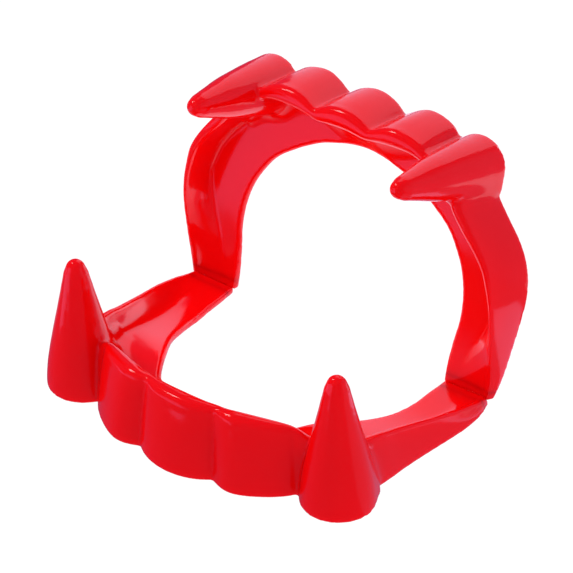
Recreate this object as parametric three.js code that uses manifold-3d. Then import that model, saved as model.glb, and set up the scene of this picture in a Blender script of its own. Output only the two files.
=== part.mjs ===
// Vampire fang denture: two toothed arches moulded in one piece of plastic, joined at the ends of
// their arms by two living hinges. Millimetres, +Z up. The lower jaw lies on its flat gum face and
// the upper jaw stands open on the hinges. +X is the right side seen from the front, and the front
// looks along -Y. The origin is on the lower gum face, under the middle tooth.

import * as THREE from 'three';
import { mergeVertices } from 'three/addons/utils/BufferGeometryUtils.js';
import Module from 'manifold-3d';

// Driving dimensions: the hinges
const openAngle = 103; // degrees between the two gum faces as the part stands
const webRadius = 0.35; // half the thickness of the living hinge
const webClearance = 0.3; // between the web and the end of either arm
const webInset = 0.25; // web stops this far inside the sides of the arms

// Driving dimensions: the moulded wall, the same in both jaws
const plateThickness = 1.3; // band that runs inward from the wall
const wallThickness = 1.0; // upright wall at its rim, between two teeth
const landWidth = 2.4; // flat foot of the wall on the gum face
const edgeRound = 0.35; // rounding of the band's edges
const armNoseLift = 0.35; // how far the gum-side corner is rounded off at an arm's end
const armNoseLength = 1.1; // length of that rounding along the arm
const bulgeAtRim = 0.75; // tooth bulge left at the rim, as a share of the bulge at the gum
const rimLeast = 0.15; // least height of the rim above the band, at the arm ends

// Driving dimensions of each jaw, measured forward from the hinge line and up from the gum face
const lowerJaw = {
  hingeHeight: 1.05,
  halfWidth: 28.1,
  depth: 39.1,
  mouthHalfWidth: 19.5,
  mouthDepth: 31,
  wallHeight: 11.6,
  wallLean: 1.1,
  bandRise: 3.7,
  riseFrom: 0.17,
  riseTo: 0.7,
  toothBulge: 1.9,
  fangLength: 22.1,
  fangRadius: 5.7,
  fangTipRadius: 1.35,
};
const upperJaw = {
  hingeHeight: 1.5,
  halfWidth: 30.1,
  depth: 37.3,
  mouthHalfWidth: 19.95,
  mouthDepth: 30,
  wallHeight: 9.85,
  wallLean: 1.8,
  bandRise: 0,
  riseFrom: 0.17,
  riseTo: 0.7,
  toothBulge: 2.0,
  fangLength: 21.5,
  fangRadius: 4.4,
  fangTipRadius: 1.35,
};

// Where each fang stands: base and tip, as shares of the jaw's half width and depth
lowerJaw.fang = { out: 0.827, forward: 0.799, tipOut: 0.826, tipForward: 0.813 };
upperJaw.fang = { out: 0.625, forward: 0.912, tipOut: 0.588, tipForward: 0.949 };

// One row for each section, from the hinge to the middle of the front. All lengths are shares:
// out and forward place the outer gum edge (of half width and depth), inOut and inForward the
// inner edge (of mouth half width and mouth depth), rim is the wall's top (of wall height), lean
// its tilt (of wall lean), foot where the wall's inner face meets the band (of the band's width),
// and tooth runs from 0 in a groove between two teeth to 1 on the crest of a tooth.
lowerJaw.sections = [
  { out: 0.979, forward: 0, inOut: 1.005, inForward: 0, rim: 0.13, lean: 0.3, foot: 0.8, tooth: 0 },
  { out: 0.995, forward: 0.034, inOut: 1, inForward: 0.043, rim: 0.16, lean: 0.6, foot: 0.76, tooth: 0 },
  { out: 1.002, forward: 0.088, inOut: 0.995, inForward: 0.112, rim: 0.215, lean: 0.8, foot: 0.7, tooth: 0 },
  { out: 1, forward: 0.156, inOut: 0.99, inForward: 0.197, rim: 0.275, lean: 0.85, foot: 0.62, tooth: 0 },
  { out: 0.989, forward: 0.229, inOut: 0.982, inForward: 0.283, rim: 0.33, lean: 0.85, foot: 0.55, tooth: 0 },
  { out: 0.975, forward: 0.304, inOut: 0.964, inForward: 0.378, rim: 0.38, lean: 0.85, foot: 0.49, tooth: 0 },
  { out: 0.961, forward: 0.379, inOut: 0.928, inForward: 0.474, rim: 0.435, lean: 0.9, foot: 0.45, tooth: 0 },
  { out: 0.948, forward: 0.457, inOut: 0.882, inForward: 0.569, rim: 0.5, lean: 0.95, foot: 0.42, tooth: 0 },
  { out: 0.94, forward: 0.53, inOut: 0.826, inForward: 0.655, rim: 0.555, lean: 1, foot: 0.4, tooth: 0 },
  { out: 0.936, forward: 0.597, inOut: 0.774, inForward: 0.73, rim: 0.615, lean: 1, foot: 0.38, tooth: 0 },
  { out: 0.918, forward: 0.686, inOut: 0.715, inForward: 0.803, rim: 0.7, lean: 1, foot: 0.38, tooth: 0 },
  { out: 0.826, forward: 0.779, inOut: 0.654, inForward: 0.865, rim: 0.815, lean: 1, foot: 0.38, tooth: 0 },
  { out: 0.733, forward: 0.829, inOut: 0.595, inForward: 0.908, rim: 0.87, lean: 1, foot: 0.4, tooth: 0 },
  { out: 0.641, forward: 0.87, inOut: 0.523, inForward: 0.941, rim: 0.915, lean: 1, foot: 0.4, tooth: 0 },
  { out: 0.384, forward: 0.958, inOut: 0.328, inForward: 0.98, rim: 0.975, lean: 1, foot: 0.42, tooth: 1 },
  { out: 0.231, forward: 0.987, inOut: 0.195, inForward: 0.993, rim: 0.985, lean: 1, foot: 0.42, tooth: 0 },
  { out: 0, forward: 1, inOut: 0, inForward: 1, rim: 1, lean: 1, foot: 0.42, tooth: 1 },
];
upperJaw.sections = [
  { out: 0.92, forward: 0, inOut: 0.972, inForward: 0, rim: 0.16, lean: 0.2, foot: 0.8, tooth: 0 },
  { out: 0.94, forward: 0.035, inOut: 0.97, inForward: 0.044, rim: 0.195, lean: 0.35, foot: 0.76, tooth: 0 },
  { out: 0.958, forward: 0.109, inOut: 0.977, inForward: 0.129, rim: 0.28, lean: 0.5, foot: 0.7, tooth: 0 },
  { out: 0.97, forward: 0.183, inOut: 0.99, inForward: 0.218, rim: 0.38, lean: 0.62, foot: 0.62, tooth: 0 },
  { out: 0.983, forward: 0.267, inOut: 1.003, inForward: 0.32, rim: 0.492, lean: 0.78, foot: 0.48, tooth: 0 },
  { out: 0.995, forward: 0.354, inOut: 0.997, inForward: 0.415, rim: 0.593, lean: 0.95, foot: 0.39, tooth: 0 },
  { out: 1.002, forward: 0.441, inOut: 0.972, inForward: 0.51, rim: 0.67, lean: 1.12, foot: 0.33, tooth: 0 },
  { out: 0.993, forward: 0.523, inOut: 0.927, inForward: 0.602, rim: 0.731, lean: 1.2, foot: 0.3, tooth: 0 },
  { out: 0.963, forward: 0.599, inOut: 0.865, inForward: 0.68, rim: 0.792, lean: 1.05, foot: 0.3, tooth: 0 },
  { out: 0.91, forward: 0.67, inOut: 0.797, inForward: 0.748, rim: 0.853, lean: 0.9, foot: 0.3, tooth: 0 },
  { out: 0.837, forward: 0.738, inOut: 0.727, inForward: 0.796, rim: 0.908, lean: 0.65, foot: 0.32, tooth: 0 },
  { out: 0.764, forward: 0.807, inOut: 0.649, inForward: 0.837, rim: 0.939, lean: 0.5, foot: 0.34, tooth: 0 },
  { out: 0.708, forward: 0.872, inOut: 0.581, inForward: 0.869, rim: 0.959, lean: 0.4, foot: 0.36, tooth: 0 },
  { out: 0.605, forward: 0.943, inOut: 0.501, inForward: 0.901, rim: 0.98, lean: 0.35, foot: 0.38, tooth: 0 },
  { out: 0.48, forward: 0.996, inOut: 0.406, inForward: 0.935, rim: 0.99, lean: 0.25, foot: 0.4, tooth: 0 },
  { out: 0.299, forward: 1.003, inOut: 0.283, inForward: 0.964, rim: 1, lean: 0.25, foot: 0.42, tooth: 1 },
  { out: 0.164, forward: 0.995, inOut: 0.138, inForward: 0.99, rim: 1, lean: 0.25, foot: 0.42, tooth: 0 },
  { out: 0, forward: 1, inOut: 0, inForward: 1, rim: 1, lean: 0.25, foot: 0.42, tooth: 1 },
];

// Outline of a fang from its tip down: down is a share of its length, the other two columns the
// radius at that height as a share of the way from the tip radius to the base radius.
const fangOutline = [
  { down: 0.07, lower: 0.04, upper: 0.1 },
  { down: 0.2, lower: 0.18, upper: 0.28 },
  { down: 0.4, lower: 0.41, upper: 0.54 },
  { down: 0.55, lower: 0.59, upper: 0.7 },
  { down: 0.74, lower: 0.81, upper: 0.87 },
  { down: 0.88, lower: 0.94, upper: 0.96 },
  { down: 1.0, lower: 1.0, upper: 1.0 },
];

// How finely the surfaces are faceted
const stepsPlain = 2; // sections between two rows of an arm
const stepsTooth = 4; // sections between two rows of a tooth
const fangSides = 20;
const tipRings = 3;
const webSides = 12;

const armEnd = webRadius + webClearance; // arms stop this far in front of the hinge line

// Smooth value between b and c that passes through all four rows of a table
function smooth(a, b, c, d, t) {
  const tangentB = (c - a) / 2;
  const tangentC = (d - b) / 2;
  const t2 = t * t;
  const t3 = t2 * t;
  return (2 * t3 - 3 * t2 + 1) * b + (t3 - 2 * t2 + t) * tangentB
    + (3 * t2 - 2 * t3) * c + (t3 - t2) * tangentC;
}

// From 0 to 1 without a corner at either end
function easeIn(share) {
  const t = Math.min(Math.max(share, 0), 1);
  return t * t * (3 - 2 * t);
}

// The whole arch as a list of rows in millimetres, from the right hinge round to the left one
function archRows(jaw) {
  const run = jaw.depth - armEnd;
  const mouthRun = jaw.mouthDepth - armEnd;
  const half = jaw.sections.map((row) => ({
    x: row.out * jaw.halfWidth,
    y: armEnd + row.forward * run,
    mouthX: row.inOut * jaw.mouthHalfWidth,
    mouthY: armEnd + row.inForward * mouthRun,
    rim: row.rim * jaw.wallHeight,
    lean: row.lean * jaw.wallLean,
    lift: jaw.bandRise * easeIn((row.forward - jaw.riseFrom) / (jaw.riseTo - jaw.riseFrom)),
    foot: row.foot,
    tooth: row.tooth,
  }));
  const left = half.map((row) => ({ ...row, x: -row.x, mouthX: -row.mouthX }));
  return [...half, ...left.slice(0, -1).reverse()];
}

// Rows filled in between the table's rows, with the distance to the nearer arm end
function archStations(jaw) {
  const rows = archRows(jaw);
  const last = rows.length - 1;
  const stations = [];
  for (let i = 0; i < last; i += 1) {
    const [a, b, c, d] = [rows[Math.max(i - 1, 0)], rows[i], rows[i + 1], rows[Math.min(i + 2, last)]];
    const steps = b.tooth + c.tooth > 0 ? stepsTooth : stepsPlain;
    for (let k = 0; k < steps; k += 1) {
      const t = k / steps;
      const station = {};
      for (const key of ['x', 'y', 'mouthX', 'mouthY', 'rim', 'lean', 'lift', 'foot']) {
        station[key] = smooth(a[key], b[key], c[key], d[key], t);
      }
      station.tooth = b.tooth + (c.tooth - b.tooth) * t;
      stations.push(station);
    }
  }
  stations.push({ ...rows[last] });
  return stations;
}

// Height of the gum side above the gum face: zero but for the rounded nose at an arm's end
function noseLift(distance) {
  const t = Math.min(Math.max(distance / armNoseLength, 0), 1);
  return armNoseLift * (1 - Math.sqrt(1 - (1 - t) * (1 - t)));
}

// Closed outline of one section: inward from the outer gum edge, and height above the gum face
function sectionOutline(jaw, station) {
  const band = Math.hypot(station.x - station.mouthX, station.y - station.mouthY);
  const swell = jaw.toothBulge * (1 - (1 - station.tooth) ** 2);
  const rimSwell = swell * bulgeAtRim;
  const under = Math.max(station.lift, 0);
  const top = under + plateThickness;
  const rim = Math.max(station.rim, top + rimLeast);
  const rise = rim - top;
  const crown = Math.min(wallThickness / 2, rise * 0.6);
  const inside = station.lean + wallThickness;
  const foot = Math.max(station.foot * band, inside + crown);
  const nose = noseLift(station.y - armEnd);
  const land = Math.min(landWidth, foot);
  return [
    [-swell + edgeRound, nose],
    [-swell, nose + edgeRound * (1 - nose / plateThickness)],
    [-swell * 0.95 + station.lean * 0.35, Math.max(rim * 0.45, nose + edgeRound)],
    [-swell * 0.87 + station.lean * 0.75, rim - crown - rise * 0.12 - edgeRound * 0.1],
    [-rimSwell + station.lean, rim - crown],
    [-rimSwell + station.lean + crown * 0.3, rim - crown * 0.3],
    [station.lean + (wallThickness - rimSwell) / 2, rim],
    [inside - crown * 0.3, rim - crown * 0.3],
    [inside, rim - crown],
    [inside + (foot - inside) * 0.22, top + rise * 0.4],
    [inside + (foot - inside) * 0.55, top + rise * 0.12],
    [foot, top],
    [band - edgeRound, top],
    [band, (top + under + nose) / 2],
    [band - edgeRound, under + nose],
    [land + (band - land) * 0.2, under + nose],
    [land, nose],
  ];
}

// One closed body from rings of points that all have the same count
function skinRings(rings, capStart, capEnd) {
  const points = rings.flat();
  const sides = rings[0].length;
  const index = [];
  for (let i = 0; i + 1 < rings.length; i += 1) {
    for (let j = 0; j < sides; j += 1) {
      const a = i * sides + j;
      const b = i * sides + (j + 1) % sides;
      index.push(a, b, b + sides, a, b + sides, a + sides);
    }
  }
  const endRow = (rings.length - 1) * sides;
  for (const [a, b, c] of capStart) index.push(c, b, a);
  for (const [a, b, c] of capEnd) index.push(endRow + a, endRow + b, endRow + c);
  const geometry = new THREE.BufferGeometry();
  geometry.setAttribute('position', new THREE.Float32BufferAttribute(points.flat(), 3));
  geometry.setIndex(index);
  return geometry;
}

// Triangles that close a flat outline given as pairs, wound the way the outline runs
function flatCap(outline) {
  const contour = outline.map(([x, y]) => new THREE.Vector2(x, y));
  const faces = THREE.ShapeUtils.triangulateShape(contour, []);
  return THREE.ShapeUtils.isClockWise(contour) ? faces.map(([a, b, c]) => [c, b, a]) : faces;
}

// The toothed arch without its fangs
function archBody(jaw) {
  const stations = archStations(jaw);
  const outlines = stations.map((station) => sectionOutline(jaw, station));
  const rings = stations.map((station, i) => {
    const inward = new THREE.Vector2(station.mouthX - station.x, station.mouthY - station.y).normalize();
    return outlines[i].map(([depth, height]) => [
      station.x + inward.x * depth,
      -(station.y + inward.y * depth),
      height,
    ]);
  });
  return skinRings(rings, flatCap(outlines[0]), flatCap(outlines[outlines.length - 1]));
}

// Rings of one fang, from its base on the gum face up to its rounded tip
function fangBody(jaw, side, column) {
  const at = jaw.fang;
  const base = new THREE.Vector2(side * at.out * jaw.halfWidth, -at.forward * jaw.depth);
  const tip = new THREE.Vector2(side * at.tipOut * jaw.halfWidth, -at.tipForward * jaw.depth);
  const levels = [];
  for (let i = 0; i < tipRings; i += 1) {
    const angle = ((i + 0.4) / tipRings) * (Math.PI / 2);
    const radius = jaw.fangTipRadius * Math.sin(angle);
    levels.push({ down: jaw.fangTipRadius * (1 - Math.cos(angle)), radius });
  }
  for (const row of fangOutline) {
    const radius = jaw.fangTipRadius + row[column] * (jaw.fangRadius - jaw.fangTipRadius);
    levels.push({ down: row.down * jaw.fangLength, radius });
  }
  const foot = levels[levels.length - 1];
  foot.down -= edgeRound;
  levels.push({ down: jaw.fangLength, radius: foot.radius - edgeRound });
  const rings = levels.reverse().map(({ down, radius }) => {
    const centre = tip.clone().lerp(base, down / jaw.fangLength);
    const ring = [];
    for (let k = 0; k < fangSides; k += 1) {
      const angle = (k / fangSides) * Math.PI * 2;
      ring.push([
        centre.x + radius * Math.cos(angle),
        centre.y + radius * Math.sin(angle),
        jaw.fangLength - down,
      ]);
    }
    return ring;
  });
  const disc = flatCap(rings[0]);
  return skinRings(rings, disc, disc);
}

const wasm = await Module();
wasm.setup();

// A closed mesh as a solid that can be joined
function solid(geometry) {
  const bare = geometry.clone();
  bare.deleteAttribute('normal');
  bare.deleteAttribute('uv');
  const merged = mergeVertices(bare, 1e-5);
  return new wasm.Manifold(new wasm.Mesh({
    numProp: 3,
    vertProperties: new Float32Array(merged.attributes.position.array),
    triVerts: new Uint32Array(merged.index.array),
  }));
}

// A joined solid as a mesh geometry again
function toGeometry(body) {
  const mesh = body.getMesh();
  const geometry = new THREE.BufferGeometry();
  geometry.setAttribute('position', new THREE.Float32BufferAttribute(mesh.vertProperties, 3));
  geometry.setIndex(Array.from(mesh.triVerts));
  geometry.computeVertexNormals();
  return geometry;
}

const redPlastic = { color: 0xd90d14, roughness: 0.18, metalness: 0 };

function jawMesh(name, jaw, column) {
  const body = solid(archBody(jaw))
    .add(solid(fangBody(jaw, -1, column)))
    .add(solid(fangBody(jaw, 1, column)));
  const mesh = new THREE.Mesh(toGeometry(body), new THREE.MeshStandardMaterial(redPlastic));
  mesh.name = name;
  return mesh;
}

// The web that joins the ends of two arms, lying along the hinge line on one side
function webMesh(name, side) {
  const ends = [lowerJaw, upperJaw].map((jaw) => archRows(jaw)[0]);
  const inner = Math.max(...ends.map((row) => Math.abs(row.mouthX))) + webInset;
  const outer = Math.min(...ends.map((row) => Math.abs(row.x))) - webInset;
  const geometry = new THREE.CylinderGeometry(webRadius, webRadius, outer - inner, webSides);
  geometry.rotateZ(Math.PI / 2);
  const mesh = new THREE.Mesh(geometry, new THREE.MeshStandardMaterial(redPlastic));
  mesh.name = name;
  mesh.position.set(side * (inner + outer) / 2, 0, lowerJaw.hingeHeight);
  return mesh;
}

const lower = jawMesh('lower_jaw', lowerJaw, 'lower');
const upper = jawMesh('upper_jaw', upperJaw, 'upper');

// The upper jaw is turned to face away, hung on the hinge line and swung up to its rest angle
upper.rotation.z = Math.PI;
upper.position.z = -upperJaw.hingeHeight;
const upperSwing = new THREE.Group();
upperSwing.position.z = lowerJaw.hingeHeight;
upperSwing.rotation.x = THREE.MathUtils.degToRad(180 - openAngle);
upperSwing.add(upper);

const denture = new THREE.Group();
denture.position.y = lowerJaw.depth;
denture.add(lower, upperSwing, webMesh('hinge_web_left', -1), webMesh('hinge_web_right', 1));

export default denture;
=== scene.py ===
"""Vampire fang denture: one glossy red moulding of two toothed arches on two living hinges.

The lower jaw lies on its gum face and the upper jaw stands open. Each arch is lofted through its
sections and its fangs are cones set into it. Each jaw is then fused into one skin and softened, and
the ends of its arms are parted from it and become the two hinge straps.
"""

import logging
import math
from dataclasses import dataclass, field
from enum import Enum
from typing import Sequence

import bmesh
import bpy
from mathutils import Matrix, Vector

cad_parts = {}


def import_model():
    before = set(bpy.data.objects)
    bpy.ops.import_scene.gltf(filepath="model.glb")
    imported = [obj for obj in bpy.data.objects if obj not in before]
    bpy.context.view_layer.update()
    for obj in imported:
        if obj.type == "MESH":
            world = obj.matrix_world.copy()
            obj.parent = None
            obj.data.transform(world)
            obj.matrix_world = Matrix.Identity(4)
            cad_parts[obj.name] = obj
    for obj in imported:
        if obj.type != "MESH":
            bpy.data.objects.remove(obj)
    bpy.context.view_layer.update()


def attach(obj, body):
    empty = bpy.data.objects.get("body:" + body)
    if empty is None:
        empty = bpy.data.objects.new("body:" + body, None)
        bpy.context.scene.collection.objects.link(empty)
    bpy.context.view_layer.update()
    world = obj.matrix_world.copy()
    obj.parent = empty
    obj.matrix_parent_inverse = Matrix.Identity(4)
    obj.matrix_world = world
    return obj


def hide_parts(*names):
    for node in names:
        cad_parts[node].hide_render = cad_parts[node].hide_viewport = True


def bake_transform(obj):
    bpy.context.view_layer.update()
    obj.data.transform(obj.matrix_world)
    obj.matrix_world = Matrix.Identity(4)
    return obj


LOG = logging.getLogger("denture")
MM = 0.001
SHARP_ANGLE = 60.0

Outline = list[tuple[float, float]]


class Side(Enum):
    """A side of the mouth as seen from the front, as the sign of X."""

    LEFT = -1
    RIGHT = 1


class Body(Enum):
    """The bodies that the two jaws move with."""

    LOWER = "lower"
    UPPER = "upper"


@dataclass(frozen=True)
class Hinge:
    """The living hinges' common line and the angle the jaws rest at."""

    line_y: float = 39.1
    line_z: float = 1.05
    open_angle: float = 103.0
    arm_end: float = 0.65
    strap_reach: float = 1.3

    def swing(self) -> Matrix:
        """Returns the matrix that carries the upper jaw from its own frame to where it stands."""
        turn = Matrix.Rotation(math.radians(180 - self.open_angle), 4, "X")
        return Matrix.Translation((0, self.line_y, self.line_z)) @ turn

    def line(self) -> Vector:
        """Returns the middle of the hinge line, in metres."""
        return Vector((0, self.line_y, self.line_z)) * MM

    def arm_way(self, body: Body) -> Vector:
        """The direction in which a jaw's arms leave the hinge line.

        Args:
            body: the body that the jaw moves with.

        Returns:
            The direction, of length 1.
        """
        if body is Body.LOWER:
            return Vector((0, -1, 0))
        swing = math.radians(self.open_angle)
        return Vector((0, -math.cos(swing), math.sin(swing)))


@dataclass(frozen=True)
class Section:
    """One row of an arch's table. Lengths are shares of the jaw's named sizes."""

    out: float
    forward: float
    in_out: float
    in_forward: float
    rim: float
    lean: float
    foot: float
    tooth: float


@dataclass(frozen=True)
class Fang:
    """A fang's place, as shares of its jaw, and its own sizes in millimetres.

    The neck is how far its base reaches back towards the arm, at an angle round from the side, and
    swell gives its width by rows of two shares: of its length down from the tip, and of its radius.
    """

    out: float
    forward: float
    tip_out: float
    tip_forward: float
    length: float
    radius: float
    tip_radius: float
    neck: float
    neck_angle: float
    swell: tuple[tuple[float, float], ...]


@dataclass(frozen=True)
class Station:
    """A section in millimetres, in the jaw's own frame: the hinge at 0, the front along +forward."""

    x: float
    s: float
    mouth_x: float
    mouth_s: float
    rim: float
    lean: float
    lift: float
    foot: float
    tooth: float


def ease(share: float) -> float:
    """Returns share held between 0 and 1 and eased at both ends."""
    t = min(max(share, 0.0), 1.0)
    return t * t * (3 - 2 * t)


def curve_through(a: float, b: float, c: float, d: float, t: float) -> float:
    """Smooth value between b and c of a row of four values.

    Args:
        a: the value before b.
        b: the value at t = 0.
        c: the value at t = 1.
        d: the value after c.
        t: how far from b to c.

    Returns:
        The value at t.
    """
    t2, t3 = t * t, t * t * t
    start, end = (c - a) / 2, (d - b) / 2
    return (2 * t3 - 3 * t2 + 1) * b + (t3 - 2 * t2 + t) * start + (3 * t2 - 2 * t3) * c + (t3 - t2) * end


def bow(p: Sequence[float], q: Sequence[float], r: Sequence[float], count: int) -> Outline:
    """Points of a curve that leaves p towards q and arrives at r from q.

    Args:
        p: the first point.
        q: the corner that the curve is drawn to.
        r: the last point, which is left out so that curves can be chained.
        count: how many points.

    Returns:
        The points from p on, without r.
    """
    points = []
    for k in range(count):
        t = k / count
        a, b, c = (1 - t) ** 2, 2 * t * (1 - t), t * t
        points.append((a * p[0] + b * q[0] + c * r[0], a * p[1] + b * q[1] + c * r[1]))
    return points


def run(p: Sequence[float], r: Sequence[float], count: int) -> Outline:
    """Returns count points on the straight line from p towards r, without r."""
    return [(p[0] + (r[0] - p[0]) * k / count, p[1] + (r[1] - p[1]) * k / count) for k in range(count)]


def ring_at(mesh: bmesh.types.BMesh, points: Sequence[Vector]) -> list[bmesh.types.BMEdge]:
    """Adds a closed ring whose corners lie on the points.

    Args:
        mesh: the mesh to add to.
        points: where the ring's corners go, in order.

    Returns:
        The ring's edges.
    """
    made = bmesh.ops.create_circle(mesh, cap_ends=False, segments=len(points), radius=1.0)["verts"]
    for vert, point in zip(made, points):
        vert.co = point
    return list({edge for vert in made for edge in vert.link_edges})


def loft(mesh: bmesh.types.BMesh, rings: Sequence[Sequence[Vector]]) -> None:
    """Skins a mesh through rings of points and closes both ends.

    Args:
        mesh: the mesh to add to.
        rings: the rings, which all have the same number of points.
    """
    loops = [ring_at(mesh, ring) for ring in rings]
    for before, after in zip(loops, loops[1:]):
        bmesh.ops.bridge_loops(mesh, edges=before + after)
    for end in (loops[0], loops[-1]):
        bmesh.ops.edgeloop_fill(mesh, edges=end)


@dataclass
class Arch:
    """One toothed arch of the moulding, with its two fangs."""

    name: str
    body: Body
    half_width: float
    depth: float
    mouth_half_width: float
    mouth_depth: float
    wall_height: float
    wall_lean: float
    band_rise: float
    tooth_bulge: float
    fang: Fang
    sections: tuple[Section, ...]
    hinge: Hinge = field(default_factory=Hinge)
    hinge_height: float = 0.0
    band_thickness: float = 1.3
    tooth_wall: float = 1.8
    arm_wall: float = 0.9
    thicken_from: float = 0.3
    thicken_to: float = 0.8
    arm_fillet: float = 0.35
    front_fillet: float = 3.4
    fillet_from: float = 0.74
    cove_half_width: float = 12.0
    land_width: float = 2.4
    edge_round: float = 0.4
    bulge_at_rim: float = 0.7
    rise_from: float = 0.17
    rise_to: float = 0.7
    steps: int = 6
    fang_sides: int = 48
    rim_least: float = 0.15
    foot_least: float = 0.3
    crown_share: float = 0.7
    brow_share: float = 1.1
    belly: float = 0.97
    belly_lean: float = 0.3
    fillet_share: float = 0.6
    fillet_gap: float = 0.1
    cove_start: float = 1.2
    cove_pull: float = 0.55
    land_slope: float = 0.2
    fang_levels: int = 28
    tip_levels: int = 6
    tip_turn: float = 6.4
    neck_reach: float = 3.5
    neck_from: float = 0.9
    neck_tightness: int = 22

    def half_rows(self) -> list[Station]:
        """The table's rows in millimetres.

        Returns:
            The rows, from the right hinge to the middle of the front.
        """
        end = self.hinge.arm_end
        span = self.rise_to - self.rise_from
        return [
            Station(
                x=row.out * self.half_width,
                s=end + row.forward * (self.depth - end),
                mouth_x=row.in_out * self.mouth_half_width,
                mouth_s=end + row.in_forward * (self.mouth_depth - end),
                rim=row.rim * self.wall_height,
                lean=row.lean * self.wall_lean,
                lift=self.band_rise * ease((row.forward - self.rise_from) / span),
                foot=row.foot,
                tooth=row.tooth,
            )
            for row in self.sections
        ]

    def stations(self) -> list[Station]:
        """The finely spaced sections of the whole arch.

        Returns:
            The sections, from the right hinge round to the left one.
        """
        half = self.half_rows()
        names = list(Station.__dataclass_fields__)
        mirrored = []
        for row in reversed(half[:-1]):
            values = {name: getattr(row, name) for name in names}
            values["x"], values["mouth_x"] = -row.x, -row.mouth_x
            mirrored.append(Station(**values))
        rows = half + mirrored
        last = len(rows) - 1
        made = []
        for i in range(last):
            four = [rows[max(i - 1, 0)], rows[i], rows[i + 1], rows[min(i + 2, last)]]
            steps = self.steps * (2 if four[1].tooth + four[2].tooth > 0 else 1)
            for k in range(steps):
                t = k / steps
                values = {name: curve_through(*(getattr(row, name) for row in four), t) for name in names}
                values["tooth"] = four[1].tooth + (four[2].tooth - four[1].tooth) * t
                made.append(Station(**values))
        made.append(rows[last])
        return made

    def outline(self, at: Station) -> Outline:
        """The closed outline of the moulding at one station.

        Args:
            at: the station.

        Returns:
            Pairs of inward distance from the outer gum edge and height above the gum face.
        """
        band = math.hypot(at.x - at.mouth_x, at.s - at.mouth_s)
        swell = self.tooth_bulge * (1 - (1 - at.tooth) ** 2)
        rim_swell = swell * self.bulge_at_rim
        top = max(at.lift, 0) + self.band_thickness
        rim = max(at.rim, top + self.rim_least)
        rise = rim - top
        along = at.s / self.depth
        thick = ease((along - self.thicken_from) / (self.thicken_to - self.thicken_from))
        outside = at.lean - rim_swell
        inside = at.lean + self.arm_wall + (self.tooth_wall - self.arm_wall) * thick
        round_half = (inside - outside) / 2
        crown = min(round_half, rise * self.crown_share)
        brow = min(round_half * self.brow_share, rim * self.crown_share)
        peak = (outside + inside) / 2
        corner = max(at.foot * band, inside + self.foot_least)
        slope = Vector((corner - inside, top - rim + crown))
        edge = self.edge_round
        room = band - edge - self.fillet_gap - corner
        wide = ease((along - self.fillet_from) / (1 - self.fillet_from))
        fillet = self.arm_fillet + (self.front_fillet - self.arm_fillet) * wide
        fillet = min(fillet, slope.length * self.fillet_share, room)
        start = Vector((corner, top)) - slope.normalized() * fillet
        cove = ease(self.cove_start - abs(at.x) / self.cove_half_width)
        foot = Vector((corner + fillet + (room - fillet) * cove, top))
        turn = Vector((corner, top)).lerp((start + foot) / 2, self.cove_pull * cove)
        land = min(self.land_width, corner)
        land_top = land + (band - land) * self.land_slope
        belly = self.belly_lean * at.lean - self.belly * swell
        return [
            *bow((-swell + edge, 0), (-swell, 0), (-swell, edge), 4),
            *bow((-swell, edge), (belly, rim / 2), (outside, rim - brow), 10),
            *bow((outside, rim - brow), (outside, rim), (peak, rim), 9),
            *bow((peak, rim), (inside, rim), (inside, rim - crown), 9),
            *run((inside, rim - crown), start, 6),
            *bow(start, turn, foot, 9),
            *run(foot, (band - edge, top), 6),
            *bow((band - edge, top), (band, top), (band, top - edge), 4),
            *run((band, top - edge), (band, at.lift + edge), 2),
            *bow((band, at.lift + edge), (band, at.lift), (band - edge, at.lift), 4),
            *run((band - edge, at.lift), (land_top, at.lift), 5),
            *run((land_top, at.lift), (land, 0), 3),
            *run((land, 0), (-swell + edge, 0), 5),
        ]

    def loft_arch(self, mesh: bmesh.types.BMesh) -> None:
        """Adds the arch without its fangs, in the jaw's own frame.

        Args:
            mesh: the mesh to add to, in millimetres.
        """
        up = Vector((0, 0, 1))
        rings = []
        for at in self.stations():
            inward = Vector((at.mouth_x - at.x, at.s - at.mouth_s, 0)).normalized()
            foot = Vector((at.x, -at.s, 0))
            rings.append([foot + inward * depth + up * height for depth, height in self.outline(at)])
        loft(mesh, rings)

    def fang_ends(self, side: Side) -> tuple[Vector, Vector]:
        """The middle of a fang's base and its tip, in the jaw's own frame.

        Args:
            side: which fang.

        Returns:
            The base and the tip.
        """
        fang, width = self.fang, side.value * self.half_width
        base = Vector((fang.out * width, -fang.forward * self.depth, 0))
        return base, Vector((fang.tip_out * width, -fang.tip_forward * self.depth, fang.length))

    def loft_fang(self, mesh: bmesh.types.BMesh, side: Side) -> None:
        """Adds one fang, in the jaw's own frame.

        Args:
            mesh: the mesh to add to, in millimetres.
            side: which fang.
        """
        fang = self.fang
        base, tip = self.fang_ends(side)
        levels = []
        for k in range(1, self.tip_levels + 1):
            angle = math.radians(90 * k / self.tip_turn)
            down = fang.tip_radius * (1 - math.cos(angle)) / fang.length
            levels.append((down, fang.tip_radius * math.sin(angle)))
        below = levels[-1][0]
        for k in range(1, self.fang_levels + 1):
            down = below + (1 - below) * k / self.fang_levels
            levels.append((down, self.fang_radius(down)))
        step = 2 * math.pi / self.fang_sides
        around = [Vector((math.cos(k * step), math.sin(k * step), 0)) for k in range(self.fang_sides)]
        turn = math.radians(fang.neck_angle)
        back = Vector((side.value * math.cos(turn), math.sin(turn), 0))
        rings = []
        for down, radius in reversed(levels):
            centre = tip.lerp(base, down)
            neck = fang.neck * down * down
            reach = [radius + neck * max(way.dot(back), 0) ** self.neck_tightness for way in around]
            rings.append([centre + way * far for way, far in zip(around, reach)])
        loft(mesh, rings)

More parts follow.
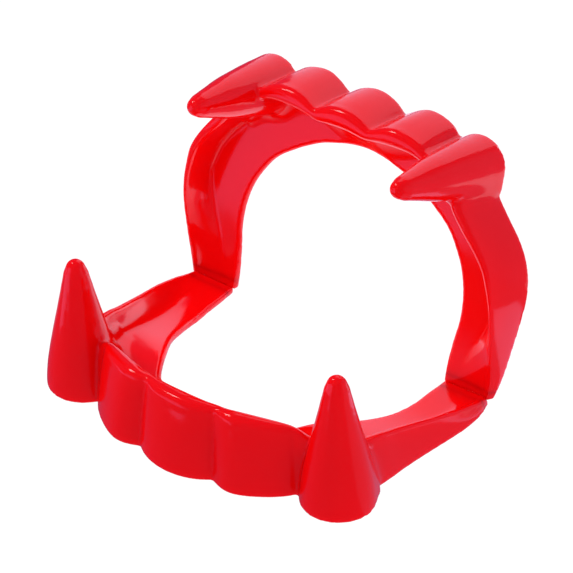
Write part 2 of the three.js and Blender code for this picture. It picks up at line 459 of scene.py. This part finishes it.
    def fang_radius(self, down: float) -> float:
        """The fang's radius at a height, without its neck.

        Args:
            down: the share of the fang's length from the tip down.

        Returns:
            The radius.
        """
        table = self.fang.swell
        last = len(table) - 1
        for i in range(last):
            if down <= table[i + 1][0] or i == last - 1:
                four = [table[max(i - 1, 0)][1], table[i][1], table[i + 1][1], table[min(i + 2, last)][1]]
                t = (down - table[i][0]) / (table[i + 1][0] - table[i][0])
                share = curve_through(*four, min(t, 1.0))
                return self.fang.tip_radius + share * (self.fang.radius - self.fang.tip_radius)
        return self.fang.radius

    def beside_fang(self, point: Vector) -> bool:
        """Whether a point lies where a fang meets the arm behind it.

        Args:
            point: the point, in millimetres, in the jaw's own frame.

        Returns:
            True where it does.
        """
        base, tip = self.fang_ends(Side.RIGHT if point.x > 0 else Side.LEFT)
        up = min(max(point.z / self.fang.length, 0.0), 1.0)
        away = point - base.lerp(tip, up)
        away.z = 0
        beside = abs(away.length - self.fang_radius(1 - up)) < self.neck_reach
        return beside and away.y > 0 and point.z > self.neck_from

    def place(self) -> Matrix:
        """The place of the jaw's own frame in the part's.

        Returns:
            The matrix from the one to the other, in millimetres.
        """
        if self.body is Body.LOWER:
            return Matrix.Translation((0, self.hinge.line_y, 0))
        drop = Matrix.Translation((0, 0, -self.hinge_height))
        return self.hinge.swing() @ drop @ Matrix.Rotation(math.pi, 4, "Z")

    def build(self, mesh: bmesh.types.BMesh) -> None:
        """Adds the whole jaw where it stands.

        Args:
            mesh: the mesh to add to, in millimetres, in the part's frame.
        """
        before = set(mesh.verts)
        self.loft_arch(mesh)
        for side in Side:
            self.loft_fang(mesh, side)
        made = [vert for vert in mesh.verts if vert not in before]
        bmesh.ops.transform(mesh, matrix=self.place(), verts=made)
        LOG.info("%s: %d corners lofted", self.name, len(made))


LOWER = Arch(
    name="lower_arch",
    body=Body.LOWER,
    half_width=28.1,
    depth=39.1,
    mouth_half_width=19.5,
    mouth_depth=31.0,
    wall_height=11.8,
    wall_lean=1.1,
    band_rise=3.8,
    tooth_bulge=1.9,
    arm_fillet=2.0,
    fang=Fang(
        out=0.824,
        forward=0.795,
        tip_out=0.831,
        tip_forward=0.82,
        length=22.1,
        radius=5.55,
        tip_radius=1.5,
        neck=1.0,
        neck_angle=61,
        swell=(
            (0.0, 0.0), (0.07, 0.06), (0.2, 0.2), (0.4, 0.43),
            (0.55, 0.62), (0.74, 0.83), (0.88, 0.95), (1.0, 1.0),
        ),
    ),
    sections=(  # out, forward, in_out, in_forward, rim, lean, foot, tooth
        Section(0.975, -0.025, 1.005, -0.03, 0.13, 0.3, 0.581, 0),
        Section(0.998, 0.034, 1, 0.043, 0.16, 0.6, 0.496, 0),
        Section(1.008, 0.088, 0.995, 0.112, 0.215, 0.8, 0.411, 0),
        Section(1.008, 0.156, 0.99, 0.197, 0.275, 0.85, 0.375, 0),
        Section(0.998, 0.229, 0.975, 0.283, 0.345, 0.85, 0.37, 0),
        Section(0.984, 0.304, 0.955, 0.378, 0.405, 0.85, 0.389, 0),
        Section(0.97, 0.379, 0.918, 0.474, 0.47, 0.9, 0.393, 0),
        Section(0.957, 0.457, 0.868, 0.569, 0.54, 0.95, 0.371, 0),
        Section(0.948, 0.53, 0.805, 0.648, 0.6, 1, 0.339, 0),
        Section(0.942, 0.597, 0.74, 0.72, 0.66, 1, 0.311, 0),
        Section(0.918, 0.686, 0.677, 0.79, 0.7, 1, 0.291, 0),
        Section(0.826, 0.779, 0.62, 0.852, 0.67, 1, 0.297, 0),
        Section(0.733, 0.829, 0.572, 0.897, 0.79, 1, 0.321, 0),
        Section(0.641, 0.87, 0.512, 0.934, 0.93, 1, 0.336, 0),
        Section(0.384, 0.958, 0.328, 0.98, 1.02, 1, 0.372, 1),
        Section(0.231, 0.987, 0.195, 0.993, 1.01, 1, 0.375, 0),
        Section(0, 1, 0, 1, 1.035, 1, 0.383, 1),
    ),
)

UPPER = Arch(
    name="upper_arch",
    body=Body.UPPER,
    half_width=30.1,
    depth=37.3,
    mouth_half_width=19.95,
    mouth_depth=30.0,
    wall_height=9.85,
    wall_lean=1.8,
    band_rise=0.0,
    tooth_bulge=2.0,
    hinge_height=1.35,
    arm_wall=0.55,
    fang=Fang(
        out=0.613,
        forward=0.912,
        tip_out=0.597,
        tip_forward=0.938,
        length=21.6,
        radius=4.55,
        tip_radius=1.45,
        neck=0.85,
        neck_angle=38,
        swell=(
            (0.0, 0.0), (0.07, 0.08), (0.2, 0.25), (0.4, 0.53),
            (0.55, 0.68), (0.74, 0.84), (0.88, 0.93), (1.0, 1.0),
        ),
    ),
    sections=(  # out, forward, in_out, in_forward, rim, lean, foot, tooth
        Section(0.92, -0.022, 0.972, -0.027, 0.16, 0.2, 0.867, 0),
        Section(0.94, 0.035, 0.97, 0.044, 0.195, 0.35, 0.783, 0),
        Section(0.958, 0.109, 0.977, 0.129, 0.28, 0.5, 0.706, 0),
        Section(0.97, 0.183, 0.99, 0.218, 0.38, 0.62, 0.635, 0),
        Section(0.983, 0.267, 1.01, 0.32, 0.492, 0.78, 0.511, 0),
        Section(0.995, 0.354, 1.007, 0.415, 0.593, 0.95, 0.406, 0),
        Section(1.002, 0.441, 0.984, 0.51, 0.67, 1.12, 0.332, 0),
        Section(0.993, 0.523, 0.938, 0.602, 0.731, 1.2, 0.287, 0),
        Section(0.963, 0.599, 0.875, 0.68, 0.792, 1.05, 0.261, 0),
        Section(0.91, 0.67, 0.806, 0.748, 0.853, 0.9, 0.263, 0),
        Section(0.837, 0.738, 0.733, 0.796, 0.908, 0.65, 0.274, 0),
        Section(0.764, 0.807, 0.649, 0.837, 0.939, 0.5, 0.276, 0),
        Section(0.708, 0.872, 0.581, 0.869, 0.959, 0.4, 0.266, 0),
        Section(0.605, 0.943, 0.501, 0.901, 0.98, 0.35, 0.268, 0),
        Section(0.48, 0.996, 0.406, 0.935, 0.99, 0.25, 0.271, 0),
        Section(0.299, 1.003, 0.283, 0.964, 1, 0.25, 0.329, 1),
        Section(0.164, 0.995, 0.138, 0.99, 1, 0.25, 0.388, 0),
        Section(0, 1, 0, 1, 1, 0.25, 0.411, 1),
    ),
)


@dataclass(frozen=True)
class RedPlastic:
    """Glossy soft red plastic, slightly see-through where it is thin."""

    name: str = "red_plastic"
    colour: tuple[float, float, float] = (0.83, 0.0008, 0.0016)
    deep: tuple[float, float, float] = (0.79, 0.0006, 0.0012)
    roughness: float = 0.12
    specular: float = 0.5
    ior: float = 1.5
    scatter: float = 0.6
    glow_through: tuple[float, float, float] = (2.6, 0.3, 0.42)
    cloud_scale: float = 90.0
    cloud_detail: float = 3.0

    def make(self) -> bpy.types.Material:
        """Makes the material with its nodes.

        Returns:
            The material.
        """
        material = bpy.data.materials.new(self.name)
        material.use_nodes = True
        nodes, links = material.node_tree.nodes, material.node_tree.links
        shader = nodes["Principled BSDF"]
        shader.inputs["Specular IOR Level"].default_value = self.specular
        shader.inputs["IOR"].default_value = self.ior
        shader.inputs["Roughness"].default_value = self.roughness
        shader.inputs["Subsurface Weight"].default_value = self.scatter
        shader.inputs["Subsurface Radius"].default_value = self.glow_through
        shader.inputs["Subsurface Scale"].default_value = MM
        place = nodes.new("ShaderNodeTexCoord")
        cloud = nodes.new("ShaderNodeTexNoise")
        cloud.inputs["Scale"].default_value = self.cloud_scale
        cloud.inputs["Detail"].default_value = self.cloud_detail
        links.new(place.outputs["Object"], cloud.inputs["Vector"])
        tint = nodes.new("ShaderNodeMix")
        tint.data_type = "RGBA"
        tint.inputs["A"].default_value = (*self.colour, 1)
        tint.inputs["B"].default_value = (*self.deep, 1)
        links.new(cloud.outputs["Fac"], tint.inputs["Factor"])
        links.new(tint.outputs["Result"], shader.inputs["Base Color"])
        return material


@dataclass
class Moulding:
    """The one-piece moulding: each jaw is fused and softened, then parted from its two hinge straps."""

    lower: Arch
    upper: Arch
    hinge: Hinge = field(default_factory=Hinge)
    voxel: float = 0.235
    soften_rounds: int = 7
    first_rounds: int = 2
    neck_passes: int = 30
    neck_rounds: int = 5
    soften_factor: float = 0.5

    def soften(self, mesh: bmesh.types.BMesh, verts: Sequence[bmesh.types.BMVert], rounds: int) -> None:
        """Eases corners a little at a time.

        Args:
            mesh: the mesh that the corners belong to.
            verts: the corners.
            rounds: how many times they are eased.
        """
        for _ in range(rounds):
            bmesh.ops.smooth_vert(
                mesh,
                verts=verts,
                factor=self.soften_factor,
                use_axis_x=True,
                use_axis_y=True,
                use_axis_z=True,
            )

    @staticmethod
    def hollow(vert: bmesh.types.BMVert) -> bool:
        """Returns whether the skin is hollow at a corner, so that easing it fills the hollow."""
        around = [edge.other_vert(vert).co for edge in vert.link_edges]
        return (sum(around, Vector()) / len(around) - vert.co).dot(vert.normal) > 0

    def fuse(self, arch: Arch) -> bmesh.types.BMesh:
        """Fuses one arch and its fangs into a single skin.

        Args:
            arch: the arch.

        Returns:
            The skin, in metres, in the part's frame.
        """
        rough = bmesh.new()
        arch.build(rough)
        bmesh.ops.recalc_face_normals(rough, faces=rough.faces)
        bmesh.ops.scale(rough, vec=(MM, MM, MM), verts=rough.verts)
        data = bpy.data.meshes.new("rough_" + arch.name)
        rough.to_mesh(data)
        rough.free()
        piece = bpy.data.objects.new("rough_" + arch.name, data)
        bpy.context.scene.collection.objects.link(piece)
        remesh = piece.modifiers.new("fuse", "REMESH")
        remesh.mode = "VOXEL"
        remesh.voxel_size = self.voxel * MM
        remesh.adaptivity = 0
        fused = bmesh.new()
        graph = bpy.context.evaluated_depsgraph_get()
        shaped = bpy.data.meshes.new_from_object(piece.evaluated_get(graph))
        fused.from_mesh(shaped)
        bpy.data.objects.remove(piece)
        bpy.data.meshes.remove(shaped)
        bpy.data.meshes.remove(data)
        home = arch.place().inverted()
        beside = [vert for vert in fused.verts if arch.beside_fang(home @ (vert.co / MM))]
        self.soften(fused, fused.verts, self.first_rounds)
        for _ in range(self.neck_passes):
            fused.normal_update()
            self.soften(fused, [vert for vert in beside if self.hollow(vert)], self.neck_rounds)
        self.soften(fused, fused.verts, self.soften_rounds - self.first_rounds)
        LOG.info("%s fused: %d faces", arch.name, len(fused.faces))
        return fused

    def part(self) -> dict[str, bpy.types.Object]:
        """Makes the two jaws and the two hinge straps.

        Returns:
            The pieces by name.
        """
        line = self.hinge.line()
        right = Vector((1, 0, 0))
        straps = {Side.LEFT: bmesh.new(), Side.RIGHT: bmesh.new()}
        pieces = {}
        for arch in (self.lower, self.upper):
            fused = self.fuse(arch)
            way = self.hinge.arm_way(arch.body)
            end = line + way * self.hinge.strap_reach * MM
            for side, strap in straps.items():
                stub = fused.copy()
                self.keep(stub, end, -way)
                self.keep(stub, line, right * side.value)
                shell = bpy.data.meshes.new("stub")
                stub.to_mesh(shell)
                stub.free()
                strap.from_mesh(shell)
                bpy.data.meshes.remove(shell)
            self.keep(fused, end, way)
            name = arch.body.value + "_jaw_moulding"
            pieces[name] = self.to_object(name, fused)
        for side, strap in straps.items():
            name = "hinge_strap_" + side.name.lower()
            pieces[name] = self.to_object(name, strap)
        return pieces

    @staticmethod
    def keep(mesh: bmesh.types.BMesh, at: Vector, way: Vector) -> None:
        """Cuts a mesh by a plane, keeps what lies ahead of it and closes the cut.

        Args:
            mesh: the mesh to cut.
            at: a point of the plane.
            way: the plane's normal, towards what stays.
        """
        geometry = mesh.verts[:] + mesh.edges[:] + mesh.faces[:]
        cut = bmesh.ops.bisect_plane(mesh, geom=geometry, plane_co=at, plane_no=way, clear_inner=True)
        edges = [item for item in cut["geom_cut"] if isinstance(item, bmesh.types.BMEdge)]
        if edges:
            bmesh.ops.edgenet_fill(mesh, edges=edges)

    @staticmethod
    def to_object(name: str, mesh: bmesh.types.BMesh) -> bpy.types.Object:
        """Makes a smooth-shaded object of a mesh, which is freed.

        Args:
            name: the object's name.
            mesh: its mesh.

        Returns:
            The object.
        """
        for face in mesh.faces:
            face.smooth = True
        for edge in mesh.edges:
            if len(edge.link_faces) == 2 and edge.calc_face_angle(0) > math.radians(SHARP_ANGLE):
                edge.smooth = False
        data = bpy.data.meshes.new(name)
        mesh.to_mesh(data)
        mesh.free()
        piece = bpy.data.objects.new(name, data)
        bpy.context.scene.collection.objects.link(piece)
        return piece


def direction(azimuth: float, elevation: float) -> Vector:
    """Returns the direction at degrees round from the front towards the right, and degrees up."""
    around, up = math.radians(azimuth), math.radians(elevation)
    return Vector((math.sin(around) * math.cos(up), -math.cos(around) * math.cos(up), math.sin(up)))


@dataclass(frozen=True)
class Patch:
    """A soft bright patch of the surroundings. Angles are in degrees, the colour is its radiance."""

    azimuth: float
    elevation: float
    core: float
    reach: float
    colour: tuple[float, float, float]

    def way(self) -> Vector:
        """Returns the direction of the patch's middle."""
        return direction(self.azimuth, self.elevation)


@dataclass(frozen=True)
class Panel:
    """A square light. Angles are in degrees, lengths in millimetres."""

    name: str
    azimuth: float
    elevation: float
    radiance: float
    distance: float = 1000.0
    side: float = 600.0
    in_gloss: bool = False


@dataclass(frozen=True)
class Card:
    """A glowing card that shows in the gloss alone. Lengths are in millimetres.

    Its second edge runs from the first y and z to the last ones, and its glow goes over from near
    to far between the two values of y in fade.
    """

    name: str
    x: tuple[float, float]
    y: tuple[float, float]
    near: tuple[float, float, float]
    z: tuple[float, float] = (-1.0, -1.0)
    far: tuple[float, float, float] | None = None
    fade: tuple[float, float] = (0.0, 1.0)

    def frame(self) -> Matrix:
        """The place of a square of side 2 around the origin that makes it the card.

        Returns:
            The matrix from the square to the card, in metres.
        """
        (x0, x1), (y0, y1), (z0, z1) = self.x, self.y, self.z
        rows = (
            (x1 - x0, 0, 0, x0 + x1),
            (0, y1 - y0, 0, y0 + y1),
            (0, z1 - z0, 0, z0 + z1),
            (0, 0, 0, 2 / MM),
        )
        return Matrix([[value / 2 * MM for value in row] for row in rows])


@dataclass
class Studio:
    """A pale floor, a bright surround and a camera where the photograph's stood."""

    eye: tuple[float, float, float] = (249.27, -305.01, 302.00)
    aim: tuple[float, float, float] = (-0.495049, 0.658469, -0.566873)
    roll: float = 0.00505
    lens: float = 218.46
    sensor: float = 36.0
    reach: tuple[float, float] = (0.01, 20.0)
    floor_side: float = 3000.0
    floor_glow: float = 1.0
    floor_grey: float = 0.06
    floor_roughness: float = 0.9
    middle: tuple[float, float, float] = (0.0, 25.0, 15.0)
    walls: tuple[float, float, float] = (0.09, 0.07, 0.17)
    dome: tuple[float, float, float] = (0.72, 0.72, 0.72)
    patches: tuple[Patch, ...] = (
        Patch(azimuth=130, elevation=0, core=20, reach=50, colour=(0.28, 0.24, 0.45)),
        Patch(azimuth=-32, elevation=-6, core=13, reach=24, colour=(0.55, 0.5, 1.05)),
    )
    cards: tuple[Card, ...] = (
        Card("back_card", x=(-110, 40), y=(150, 150), z=(8, 210), near=(0.8, 0.74, 1.0)),
        Card("bright_back_card", x=(2, 38), y=(149, 149), z=(-1, 62), near=(1.9, 1.7, 2.1)),
        Card(
            "table_card",
            x=(-80, 90),
            y=(-45, 148),
            near=(0.1, 0.08, 0.18),
            far=(1.0, 0.95, 1.2),
            fade=(8, 42),
        ),
        Card("right_table_card", x=(5, 120), y=(8, 75), z=(-0.9, -0.9), near=(0.24, 0.21, 0.38)),
        Card("left_table_card", x=(-140, -50), y=(-100, -12), z=(-0.9, -0.9), near=(0.55, 0.5, 1.05)),
        Card("bright_table_card", x=(28, 64), y=(42, 56), z=(-0.8, -0.8), near=(0.85, 0.8, 1.35)),
    )
    panels: tuple[Panel, ...] = (
        Panel("key_panel", azimuth=-84, elevation=48, radiance=14, side=280),
        Panel("glint_panel", azimuth=-81, elevation=56, radiance=9, side=200, in_gloss=True),
        Panel("mouth_fill", azimuth=0, elevation=8.5, radiance=1.1, distance=9, side=30),
        Panel("right_panel", azimuth=100, elevation=15, radiance=1),
    )

    def camera(self) -> None:
        """Sets up the camera."""
        data = bpy.data.cameras.new("photo_camera")
        data.lens = self.lens
        data.sensor_width = self.sensor
        data.clip_start, data.clip_end = self.reach
        camera = bpy.data.objects.new("photo_camera", data)
        bpy.context.scene.collection.objects.link(camera)
        camera.location = Vector(self.eye) * MM
        look = Vector(self.aim).to_track_quat("-Z", "Y").to_matrix() @ Matrix.Rotation(self.roll, 3, "Z")
        camera.rotation_euler = look.to_euler()
        bpy.context.scene.camera = camera

    def floor(self) -> None:
        """Lays the pale floor, a light table whose glow leaves next to no shadow."""
        mesh = bmesh.new()
        bmesh.ops.create_grid(mesh, x_segments=1, y_segments=1, size=self.floor_side / 2 * MM)
        data = bpy.data.meshes.new("floor")
        mesh.to_mesh(data)
        mesh.free()
        floor = bpy.data.objects.new("floor", data)
        bpy.context.scene.collection.objects.link(floor)
        material = bpy.data.materials.new("pale_floor")
        material.use_nodes = True
        shader = material.node_tree.nodes["Principled BSDF"]
        shader.inputs["Base Color"].default_value = (*[self.floor_grey] * 3, 1)
        shader.inputs["Roughness"].default_value = self.floor_roughness
        shader.inputs["Specular IOR Level"].default_value = 0.0
        shader.inputs["Emission Color"].default_value = (1, 1, 1, 1)
        shader.inputs["Emission Strength"].default_value = self.floor_glow
        data.materials.append(material)
        floor.visible_glossy = False

    def surround(self) -> None:
        """Fills the surroundings.

        An even dome lights the plastic, and dim walls with soft patches show in its gloss.
        """
        world = bpy.data.worlds.new("studio_surround")
        bpy.context.scene.world = world
        world.use_nodes = True
        nodes, links = world.node_tree.nodes, world.node_tree.links
        where = nodes.new("ShaderNodeTexCoord")
        colour = None
        for patch in self.patches:
            facing = nodes.new("ShaderNodeVectorMath")
            facing.operation = "DOT_PRODUCT"
            facing.inputs[1].default_value = patch.way()
            links.new(where.outputs["Generated"], facing.inputs[0])
            edge = nodes.new("ShaderNodeMapRange")
            edge.interpolation_type = "SMOOTHSTEP"
            edge.inputs["From Min"].default_value = math.cos(math.radians(patch.reach))
            edge.inputs["From Max"].default_value = math.cos(math.radians(patch.core))
            links.new(facing.outputs["Value"], edge.inputs["Value"])
            mix = nodes.new("ShaderNodeMix")
            mix.data_type = "RGBA"
            mix.inputs["B"].default_value = (*patch.colour, 1)
            links.new(edge.outputs["Result"], mix.inputs["Factor"])
            if colour is None:
                mix.inputs["A"].default_value = (*self.walls, 1)
            else:
                links.new(colour, mix.inputs["A"])
            colour = mix.outputs["Result"]
        gloss, dome = nodes["Background"], nodes.new("ShaderNodeBackground")
        links.new(colour, gloss.inputs["Color"])
        dome.inputs["Color"].default_value = (*self.dome, 1)
        rays = nodes.new("ShaderNodeLightPath")
        choose = nodes.new("ShaderNodeMixShader")
        links.new(rays.outputs["Is Glossy Ray"], choose.inputs[0])
        links.new(dome.outputs["Background"], choose.inputs[1])
        links.new(gloss.outputs["Background"], choose.inputs[2])
        links.new(choose.outputs["Shader"], nodes["World Output"].inputs["Surface"])

    def card(self, card: Card) -> None:
        """Hangs one card.

        Args:
            card: the card.
        """
        mesh = bmesh.new()
        bmesh.ops.create_grid(mesh, x_segments=1, y_segments=1, size=1.0, matrix=card.frame())
        data = bpy.data.meshes.new(card.name)
        mesh.to_mesh(data)
        mesh.free()
        piece = bpy.data.objects.new(card.name, data)
        bpy.context.scene.collection.objects.link(piece)
        material = bpy.data.materials.new(card.name)
        material.use_nodes = True
        nodes, links = material.node_tree.nodes, material.node_tree.links
        nodes.remove(nodes["Principled BSDF"])
        where, parts = nodes.new("ShaderNodeTexCoord"), nodes.new("ShaderNodeSeparateXYZ")
        along, mix = nodes.new("ShaderNodeMapRange"), nodes.new("ShaderNodeMix")
        glow = nodes.new("ShaderNodeEmission")
        along.inputs["From Min"].default_value = card.fade[0] * MM
        along.inputs["From Max"].default_value = card.fade[1] * MM
        mix.data_type = "RGBA"
        mix.inputs["A"].default_value = (*card.near, 1)
        mix.inputs["B"].default_value = (*(card.far or card.near), 1)
        links.new(where.outputs["Object"], parts.inputs["Vector"])
        links.new(parts.outputs["Y"], along.inputs["Value"])
        links.new(along.outputs["Result"], mix.inputs["Factor"])
        links.new(mix.outputs["Result"], glow.inputs["Color"])
        links.new(glow.outputs["Emission"], nodes["Material Output"].inputs["Surface"])
        data.materials.append(material)
        piece.visible_camera = piece.visible_diffuse = False
        piece.visible_transmission = piece.visible_shadow = False

    def panel(self, panel: Panel) -> None:
        """Hangs one soft panel that looks at the middle of the part.

        Args:
            panel: the panel.
        """
        data = bpy.data.lights.new(panel.name, "AREA")
        data.shape = "SQUARE"
        data.size = panel.side * MM
        data.energy = panel.radiance * math.pi * (panel.side * MM) ** 2
        light = bpy.data.objects.new(panel.name, data)
        bpy.context.scene.collection.objects.link(light)
        away = direction(panel.azimuth, panel.elevation)
        light.location = (Vector(self.middle) + away * panel.distance) * MM
        light.rotation_euler = (-away).to_track_quat("-Z", "Y").to_euler()
        light.visible_camera = False
        light.visible_glossy = panel.in_gloss

    def build(self) -> None:
        """Sets up the whole studio."""
        self.camera()
        self.floor()
        self.surround()
        for card in self.cards:
            self.card(card)
        for panel in self.panels:
            self.panel(panel)
        view = bpy.context.scene.view_settings
        view.view_transform = "Standard"
        view.look = "None"


def main() -> None:
    """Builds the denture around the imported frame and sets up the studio."""
    logging.basicConfig(level=logging.INFO, format="%(name)s: %(message)s")
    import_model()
    moulding = Moulding(LOWER, UPPER)
    pieces = moulding.part()
    plastic = RedPlastic().make()
    hinge = moulding.hinge
    line = hinge.line()
    across = (hinge.arm_way(Body.UPPER) - hinge.arm_way(Body.LOWER)).normalized()
    for name, piece in pieces.items():
        piece.data.materials.append(plastic)
        if name.startswith("hinge"):
            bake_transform(piece)
            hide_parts(name.replace("strap", "web"))
        else:
            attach(piece, name.split("_")[0])
            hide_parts(name.replace("_moulding", ""))
        LOG.info("%s: %d faces", name, len(piece.data.polygons))
    Studio().build()


if __name__ == "__main__":
    main()
